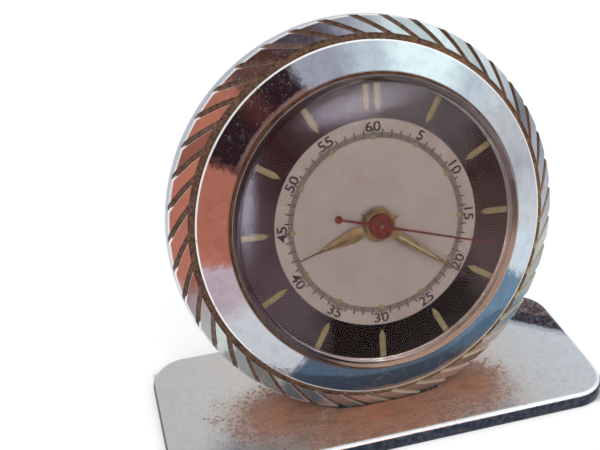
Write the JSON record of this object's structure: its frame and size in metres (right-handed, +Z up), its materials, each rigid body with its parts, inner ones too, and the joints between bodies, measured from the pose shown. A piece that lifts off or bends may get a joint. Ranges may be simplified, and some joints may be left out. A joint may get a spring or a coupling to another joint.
{
  "type": "desk clock",
  "caption": "Small tilted desk clock: a notched chrome drum case with a domed crystal and a centre seconds dial, standing on a rounded sheet base and wound from the back.",
  "frame": {"origin": "middle of the box round the whole clock, on the table that its base stands on", "axes": "+X along the base to the right as seen from the front, +Y towards the back of the clock, +Z up; the dial faces -Y and leans 18.7 degrees back"},
  "size_m": [0.0724, 0.0362, 0.0602],
  "materials": {
    "chrome_base": "polished chrome plate, dusty and lightly scratched",
    "chrome_case": "polished chrome plate, pitted, with brown dirt in the notches",
    "brass": "plain turned brass",
    "brass_ring": "thin tarnished brass",
    "steel": "turned steel",
    "crystal": "clear domed acrylic, finely scratched",
    "dial_dark": "dark brown lacquer",
    "dial_cream": "matt cream lacquer",
    "lume": "aged luminous paint",
    "gilt": "gilt, slightly tarnished",
    "red": "red lacquer, flaked and corroded"
  },
  "bodies": {
    "clock": {"base_plate": "chrome_base", "case_screws": "steel", "case_ring": "chrome_case", "bezel": "chrome_case", "tension_ring": "brass_ring", "crystal": "crystal", "case_drum": "chrome_case", "back_cover": "chrome_case", "movement_ring": "brass", "dial_plate": "dial_dark", "dial_centre": "dial_cream", "hour_markers": "lume", "minute_dots": "lume", "main_plate": "brass", "centre_tube": "steel", "pillars": "brass", "back_plate": "brass", "plate_screws": "steel", "click_screw": "steel", "click_spring": "steel", "hairspring": "steel", "balance_cock": "brass", "cock_screws": "steel"},
    "seconds": {"seconds_arbor": "steel", "fourth_wheel": "brass", "seconds_hand": "red", "seconds_boss": "red"},
    "minute": {"cannon_pinion": "steel", "minute_hand": "gilt"},
    "hour": {"hour_wheel": "brass", "hour_hand": "gilt"},
    "motion": {"motion_wheel": "brass"},
    "barrel": {"barrel": "brass", "barrel_lid": "brass", "mainspring": "steel"},
    "winding": {"barrel_arbor": "steel", "ratchet_wheel": "steel", "winding_knob": "brass"},
    "click": {"click": "steel"},
    "second": {"second_arbor": "steel", "second_wheel": "brass"},
    "third": {"third_arbor": "steel", "third_wheel": "brass"},
    "escape": {"escape_arbor": "steel", "escape_wheel": "brass"},
    "lever": {"pallet_arbor": "steel", "pallet_lever": "brass", "pallet_pins": "steel"},
    "balance": {"balance_staff": "steel", "balance_wheel": "brass", "roller": "steel"},
    "regulator": {"regulator": "steel"},
    "setting": {"setting_arbor": "steel", "setting_knob": "brass"}
  },
  "joints": [
    {"name": "seconds_spin", "type": "hinge", "parent": "clock", "child": "seconds", "pos_m": [0, 0.00057, 0.03083], "axis": [0, 0.9472, -0.3206], "continuous": true},
    {"name": "minute_spin", "type": "hinge", "parent": "clock", "child": "minute", "pos_m": [0, -0.00227, 0.03179], "axis": [0, 0.9472, -0.3206], "continuous": true},
    {"name": "hour_spin", "type": "hinge", "parent": "clock", "child": "hour", "pos_m": [0, -0.00227, 0.03179], "axis": [0, 0.9472, -0.3206], "continuous": true},
    {"name": "motion_spin", "type": "hinge", "parent": "clock", "child": "motion", "pos_m": [-0.00764, 0.00112, 0.0387], "axis": [0, 0.9472, -0.3206], "continuous": true},
    {"name": "barrel_spin", "type": "hinge", "parent": "clock", "child": "barrel", "pos_m": [-0.00764, 0.00491, 0.03742], "axis": [0, 0.9472, -0.3206], "continuous": true},
    {"name": "second_spin", "type": "hinge", "parent": "clock", "child": "second", "pos_m": [0.00316, 0.00586, 0.0371], "axis": [0, 0.9472, -0.3206], "continuous": true},
    {"name": "third_spin", "type": "hinge", "parent": "clock", "child": "third", "pos_m": [0.00603, 0.00374, 0.03085], "axis": [0, 0.9472, -0.3206], "continuous": true},
    {"name": "escape_spin", "type": "hinge", "parent": "clock", "child": "escape", "pos_m": [0.00297, 0.00176, 0.025], "axis": [0, 0.9472, -0.3206], "continuous": true},
    {"name": "setting_spin", "type": "hinge", "parent": "clock", "child": "setting", "pos_m": [-0.01271, 0.00521, 0.02584], "axis": [0, 0.9472, -0.3206], "continuous": true},
    {"name": "winding_turn", "type": "hinge", "parent": "clock", "child": "winding", "pos_m": [-0.00764, 0.01154, 0.03518], "axis": [0, 0.9472, -0.3206], "range_deg": [0, 2160]},
    {"name": "click_lift", "type": "hinge", "parent": "clock", "child": "click", "pos_m": [-0.00094, 0.01069, 0.03671], "axis": [0, 0.9472, -0.3206], "range_deg": [0, 8], "stiffness_Nm_per_rad": 0.0001},
    {"name": "lever_rock", "type": "hinge", "parent": "clock", "child": "lever", "pos_m": [-0.0021, 0.00117, 0.02325], "axis": [0, 0.9472, -0.3206], "range_deg": [-4, 4]},
    {"name": "balance_swing", "type": "hinge", "parent": "clock", "child": "balance", "pos_m": [-0.00849, 0.00232, 0.0204], "axis": [0, 0.9472, -0.3206], "range_deg": [-270, 270], "stiffness_Nm_per_rad": 0.000004},
    {"name": "regulator_shift", "type": "hinge", "parent": "clock", "child": "regulator", "pos_m": [-0.00849, 0.00554, 0.01931], "axis": [0, 0.9472, -0.3206], "range_deg": [-20, 20]}
  ],
  "couplings": [
    {"joint": "third_spin", "follows": "seconds_spin", "ratio": -0.13333},
    {"joint": "second_spin", "follows": "seconds_spin", "ratio": 0.016667},
    {"joint": "barrel_spin", "follows": "seconds_spin", "ratio": -0.0020833},
    {"joint": "motion_spin", "follows": "seconds_spin", "ratio": -0.0020833},
    {"joint": "minute_spin", "follows": "seconds_spin", "ratio": 0.016667},
    {"joint": "hour_spin", "follows": "seconds_spin", "ratio": 0.0013889},
    {"joint": "escape_spin", "follows": "seconds_spin", "ratio": -10},
    {"joint": "setting_spin", "follows": "seconds_spin", "ratio": 0.0083333}
  ]
}
